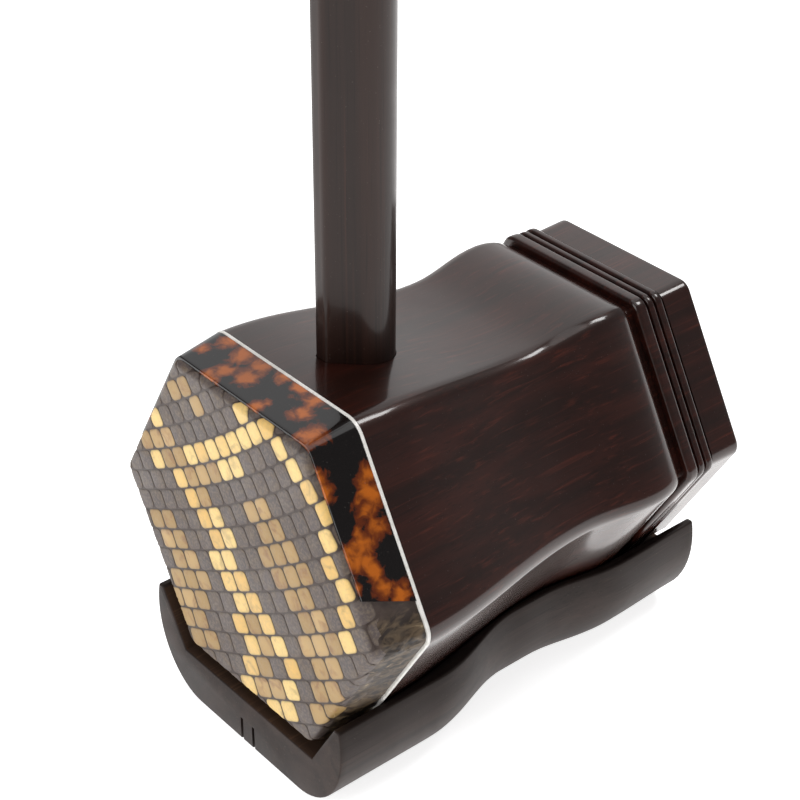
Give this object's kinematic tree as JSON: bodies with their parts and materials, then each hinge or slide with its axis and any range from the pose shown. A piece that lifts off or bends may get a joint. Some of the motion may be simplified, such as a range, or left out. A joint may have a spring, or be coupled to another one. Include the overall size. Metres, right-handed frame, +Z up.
{
  "type": "erhu",
  "caption": "Upright two-stringed fiddle without its strings: six-sided sound box with a snakeskin face, cradle, long neck, curved head and turning pegs.",
  "frame": {"origin": "on the plane the cradle stands on, midway between the foremost and the rearmost point of the instrument", "axes": "+Z up the neck, -Y out of the skin's face, +X to the right as seen from the front"},
  "size_m": [0.1002, 0.1647, 0.81],
  "materials": {
    "rosewood": "gloss lacquer",
    "dark_wood": "satin lacquer",
    "python_skin": "satin",
    "tortoiseshell": "polished",
    "white_celluloid": "polished",
    "bone": "satin",
    "brass": "satin",
    "steel": "brushed"
  },
  "bodies": {
    "body": {"stave_top": "rosewood", "stave_upper_right": "rosewood", "stave_lower_right": "rosewood", "stave_bottom": "rosewood", "stave_lower_left": "rosewood", "stave_upper_left": "rosewood", "skin_head": "python_skin", "trim_band": "tortoiseshell", "white_line": "white_celluloid", "rear_collar": "rosewood", "rear_frame": "rosewood", "sound_window": "dark_wood", "neck": "dark_wood", "neck_wedge": "dark_wood", "head": "dark_wood", "head_plate": "bone", "cradle": "dark_wood", "cradle_screws": "steel", "screw_washers": "steel", "tail_pin": "brass"},
    "inner_tuner": {"inner_peg": "dark_wood", "inner_peg_ring": "bone", "inner_peg_button": "bone"},
    "outer_tuner": {"outer_peg": "dark_wood", "outer_peg_ring": "bone", "outer_peg_button": "bone"}
  },
  "joints": [
    {"name": "inner_peg_turn", "type": "hinge", "parent": "body", "child": "inner_tuner", "pos_m": [0, -0.0475, 0.696], "axis": [0, 1, 0], "continuous": true},
    {"name": "outer_peg_turn", "type": "hinge", "parent": "body", "child": "outer_tuner", "pos_m": [0, -0.0475, 0.628], "axis": [0, 1, 0], "continuous": true}
  ]
}
